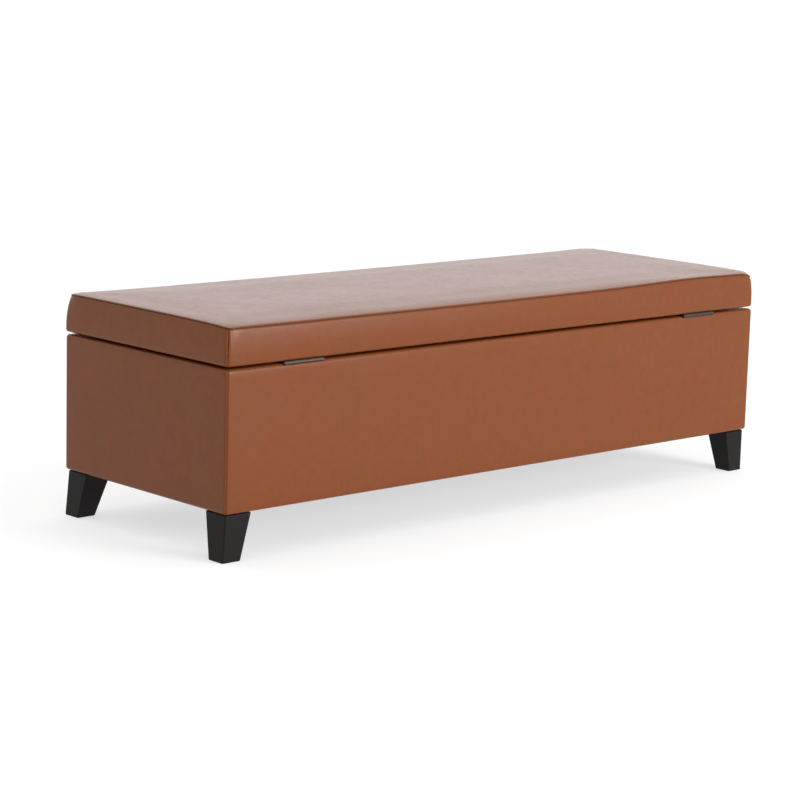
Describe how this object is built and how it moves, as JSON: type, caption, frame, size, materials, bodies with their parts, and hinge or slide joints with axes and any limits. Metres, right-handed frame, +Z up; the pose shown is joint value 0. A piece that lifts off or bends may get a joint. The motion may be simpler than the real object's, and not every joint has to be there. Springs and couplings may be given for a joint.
{
  "type": "storage bench",
  "caption": "Long upholstered storage bench with a padded lid hinged at the rear over a lined box, on short tapered square legs.",
  "frame": {"origin": "on the floor, under the middle of the bench", "axes": "+X along the bench to the sitter's left, which is the right-hand end seen from the front; +Y to the rear, where the hinges are; +Z up"},
  "size_m": [1.304, 0.454, 0.393],
  "materials": {
    "faux_leather": "satin, fine pebble grain",
    "foam": "open-cell polyurethane foam",
    "pine": "sawn and planed, bare",
    "fibreboard": "pressed board, bare",
    "lining_cloth": "non-woven polypropylene, matte",
    "black_wood": "black-stained and lacquered, satin",
    "zinc_steel": "zinc-plated, pressed and rolled",
    "black_steel": "black powder coat"
  },
  "bodies": {
    "base": {"corner_post_front_left": "pine", "corner_post_front_right": "pine", "corner_post_rear_left": "pine", "corner_post_rear_right": "pine", "top_rail_front": "pine", "top_rail_rear": "pine", "top_rail_left": "pine", "top_rail_right": "pine", "bottom_rail_front": "pine", "bottom_rail_rear": "pine", "bottom_rail_left": "pine", "bottom_rail_right": "pine", "centre_rail": "pine", "panel_front": "fibreboard", "panel_rear": "fibreboard", "panel_left": "fibreboard", "panel_right": "fibreboard", "floor_board": "fibreboard", "body_padding": "foam", "cover_front": "faux_leather", "cover_rear": "faux_leather", "cover_left": "faux_leather", "cover_right": "faux_leather", "lining_floor": "lining_cloth", "lining_walls": "lining_cloth", "dust_cover": "lining_cloth", "leg_front_left": "black_wood", "leg_front_right": "black_wood", "leg_rear_left": "black_wood", "leg_rear_right": "black_wood", "leg_bolt_front_left": "zinc_steel", "leg_bolt_front_right": "zinc_steel", "leg_bolt_rear_left": "zinc_steel", "leg_bolt_rear_right": "zinc_steel", "leg_insert_front_left": "zinc_steel", "leg_insert_front_right": "zinc_steel", "leg_insert_rear_left": "zinc_steel", "leg_insert_rear_right": "zinc_steel", "hinge_left_body_leaf": "zinc_steel", "hinge_left_pin": "zinc_steel", "hinge_right_body_leaf": "zinc_steel", "hinge_right_pin": "zinc_steel", "stay_left_wall_plate": "black_steel", "stay_left_pin": "zinc_steel", "stay_right_wall_plate": "black_steel", "stay_right_pin": "zinc_steel"},
    "lid": {"lid_board": "fibreboard", "lid_foam": "foam", "lid_border": "faux_leather", "lid_top_panel": "faux_leather", "lid_lining": "lining_cloth", "hinge_left_lid_leaf": "zinc_steel", "hinge_right_lid_leaf": "zinc_steel", "stay_left_bracket": "black_steel", "stay_left_rivet": "zinc_steel", "stay_right_bracket": "black_steel", "stay_right_rivet": "zinc_steel"},
    "stay_arm_left": {"stay_left_arm": "black_steel"},
    "stay_arm_right": {"stay_right_arm": "black_steel"}
  },
  "joints": [
    {"name": "lid_hinge", "type": "hinge", "parent": "base", "child": "lid", "pos_m": [0, 0.223, 0.3205], "axis": [-1, 0, 0], "range_deg": [0, 95]},
    {"name": "stay_left_swing", "type": "hinge", "parent": "lid", "child": "stay_arm_left", "pos_m": [-0.59365, 0.11346, 0.3105], "axis": [-1, 0, 0], "range_deg": [-48, 0]},
    {"name": "stay_right_swing", "type": "hinge", "parent": "lid", "child": "stay_arm_right", "pos_m": [0.59365, 0.11346, 0.3105], "axis": [-1, 0, 0], "range_deg": [-48, 0]}
  ],
  "couplings": [
    {"joint": "stay_left_swing", "follows": "lid_hinge", "ratio": -0.5},
    {"joint": "stay_right_swing", "follows": "lid_hinge", "ratio": -0.5}
  ]
}
